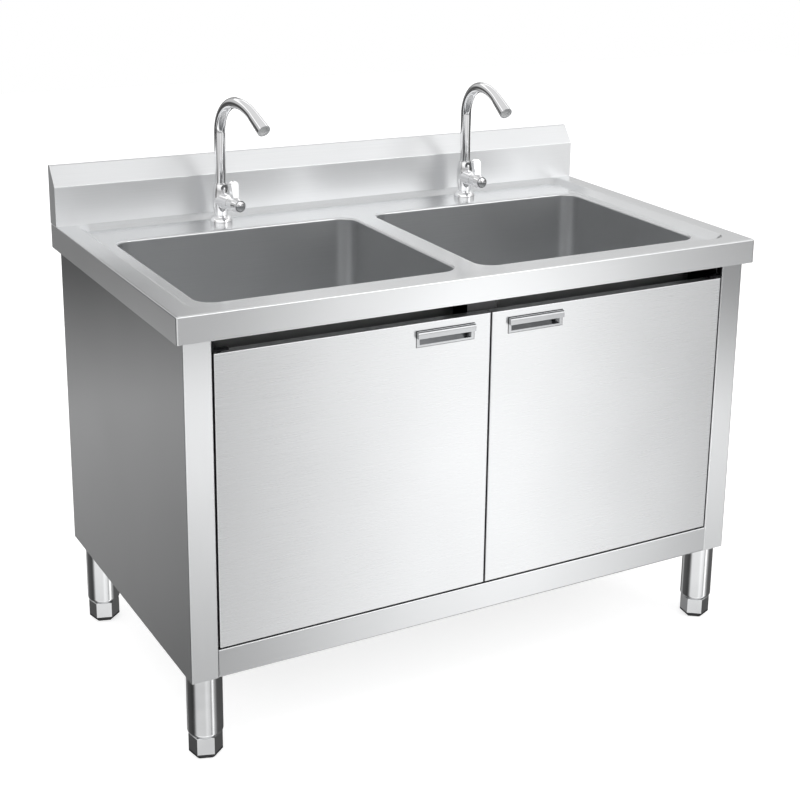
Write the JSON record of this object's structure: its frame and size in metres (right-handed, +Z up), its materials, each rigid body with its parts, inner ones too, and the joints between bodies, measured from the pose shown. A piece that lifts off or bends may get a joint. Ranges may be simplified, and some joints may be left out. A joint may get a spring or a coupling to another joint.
{
  "type": "double-bowl sink cabinet with gooseneck taps",
  "caption": "Free-standing stainless sink cabinet with twin bowls, low backsplash, hinged doors with recessed pulls, gooseneck lever taps and round legs on adjustable feet.",
  "frame": {"origin": "on the floor under the middle of the top", "axes": "+X to the right as seen from the doors, +Y to the back, +Z up; the doors face -Y"},
  "size_m": [1.2, 0.7, 1.083],
  "materials": {
    "top_steel": "brushed along the length",
    "bowl_steel": "satin",
    "panel_steel": "brushed",
    "door_steel": "brushed",
    "pull_steel": "bright",
    "zinc_steel": "zinc plated",
    "black_steel": "black oxide",
    "catch_plastic": "matt",
    "strainer_steel": "polished",
    "rubber": "matt",
    "drain_plastic": "moulded",
    "leg_steel": "polished tube",
    "foot_steel": "polished",
    "pad_plastic": "moulded",
    "tap_chrome": "mirror chrome",
    "brass": "turned",
    "aerator_plastic": "moulded"
  },
  "bodies": {
    "cabinet": {"sink_top": "top_steel", "backsplash": "top_steel", "left_bowl": "bowl_steel", "right_bowl": "bowl_steel", "left_side_panel": "panel_steel", "right_side_panel": "panel_steel", "back_panel": "panel_steel", "bottom_shelf": "panel_steel", "shelf_stiffener": "panel_steel", "front_top_rail": "panel_steel", "back_top_rail": "panel_steel", "leg_sockets": "zinc_steel", "pivot_brackets": "black_steel", "door_catch": "catch_plastic", "left_strainer_body": "strainer_steel", "right_strainer_body": "strainer_steel", "left_drain_gasket": "rubber", "right_drain_gasket": "rubber", "left_drain_nut": "drain_plastic", "right_drain_nut": "drain_plastic", "front_left_leg": "leg_steel", "front_right_leg": "leg_steel", "back_left_leg": "leg_steel", "back_right_leg": "leg_steel", "left_tap_base": "tap_chrome", "left_tap_body": "tap_chrome", "right_tap_base": "tap_chrome", "right_tap_body": "tap_chrome", "left_tap_cartridge": "brass", "left_tap_nut": "brass", "right_tap_cartridge": "brass", "right_tap_nut": "brass"},
    "left_door": {"left_door_skin": "door_steel", "left_door_liner": "door_steel", "left_door_pull": "pull_steel", "left_door_pivots": "black_steel"},
    "left_spout": {"left_tap_spout": "tap_chrome", "left_tap_aerator": "aerator_plastic"},
    "left_lever": {"left_tap_lever": "tap_chrome", "left_tap_cap": "tap_chrome"},
    "left_basket": {"left_strainer_basket": "strainer_steel"},
    "right_door": {"right_door_skin": "door_steel", "right_door_liner": "door_steel", "right_door_pull": "pull_steel", "right_door_pivots": "black_steel"},
    "right_spout": {"right_tap_spout": "tap_chrome", "right_tap_aerator": "aerator_plastic"},
    "right_lever": {"right_tap_lever": "tap_chrome", "right_tap_cap": "tap_chrome"},
    "right_basket": {"right_strainer_basket": "strainer_steel"},
    "front_left_foot": {"front_left_foot": "foot_steel", "front_left_foot_pad": "pad_plastic"},
    "front_right_foot": {"front_right_foot": "foot_steel", "front_right_foot_pad": "pad_plastic"},
    "back_left_foot": {"back_left_foot": "foot_steel", "back_left_foot_pad": "pad_plastic"},
    "back_right_foot": {"back_right_foot": "foot_steel", "back_right_foot_pad": "pad_plastic"}
  },
  "joints": [
    {"name": "left_door_hinge", "type": "hinge", "parent": "cabinet", "child": "left_door", "pos_m": [-0.521, -0.328, 0.4855], "axis": [0, 0, -1], "range_deg": [0, 110]},
    {"name": "right_door_hinge", "type": "hinge", "parent": "cabinet", "child": "right_door", "pos_m": [0.521, -0.328, 0.4855], "axis": [0, 0, 1], "range_deg": [0, 110]},
    {"name": "left_spout_swivel", "type": "hinge", "parent": "cabinet", "child": "left_spout", "pos_m": [-0.283, 0.256, 0.891], "axis": [0, 0, 1], "continuous": true},
    {"name": "left_lever_turn", "type": "hinge", "parent": "cabinet", "child": "left_lever", "pos_m": [-0.27549, 0.20859, 0.867], "axis": [-0.1564, 0.9877, 0], "range_deg": [0, 90]},
    {"name": "right_spout_swivel", "type": "hinge", "parent": "cabinet", "child": "right_spout", "pos_m": [0.283, 0.256, 0.891], "axis": [0, 0, 1], "continuous": true},
    {"name": "right_lever_turn", "type": "hinge", "parent": "cabinet", "child": "right_lever", "pos_m": [0.283, 0.208, 0.867], "axis": [0, 1, 0], "range_deg": [0, 90]},
    {"name": "left_basket_lift", "type": "slide", "parent": "cabinet", "child": "left_basket", "axis": [0, 0, 1], "range_m": [0, 0.06]},
    {"name": "right_basket_lift", "type": "slide", "parent": "cabinet", "child": "right_basket", "axis": [0, 0, 1], "range_m": [0, 0.06]},
    {"name": "front_left_foot_screw", "type": "slide", "parent": "cabinet", "child": "front_left_foot", "axis": [0, 0, -1], "range_m": [0, 0.025]},
    {"name": "front_right_foot_screw", "type": "slide", "parent": "cabinet", "child": "front_right_foot", "axis": [0, 0, -1], "range_m": [0, 0.025]},
    {"name": "back_left_foot_screw", "type": "slide", "parent": "cabinet", "child": "back_left_foot", "axis": [0, 0, -1], "range_m": [0, 0.025]},
    {"name": "back_right_foot_screw", "type": "slide", "parent": "cabinet", "child": "back_right_foot", "axis": [0, 0, -1], "range_m": [0, 0.025]}
  ]
}
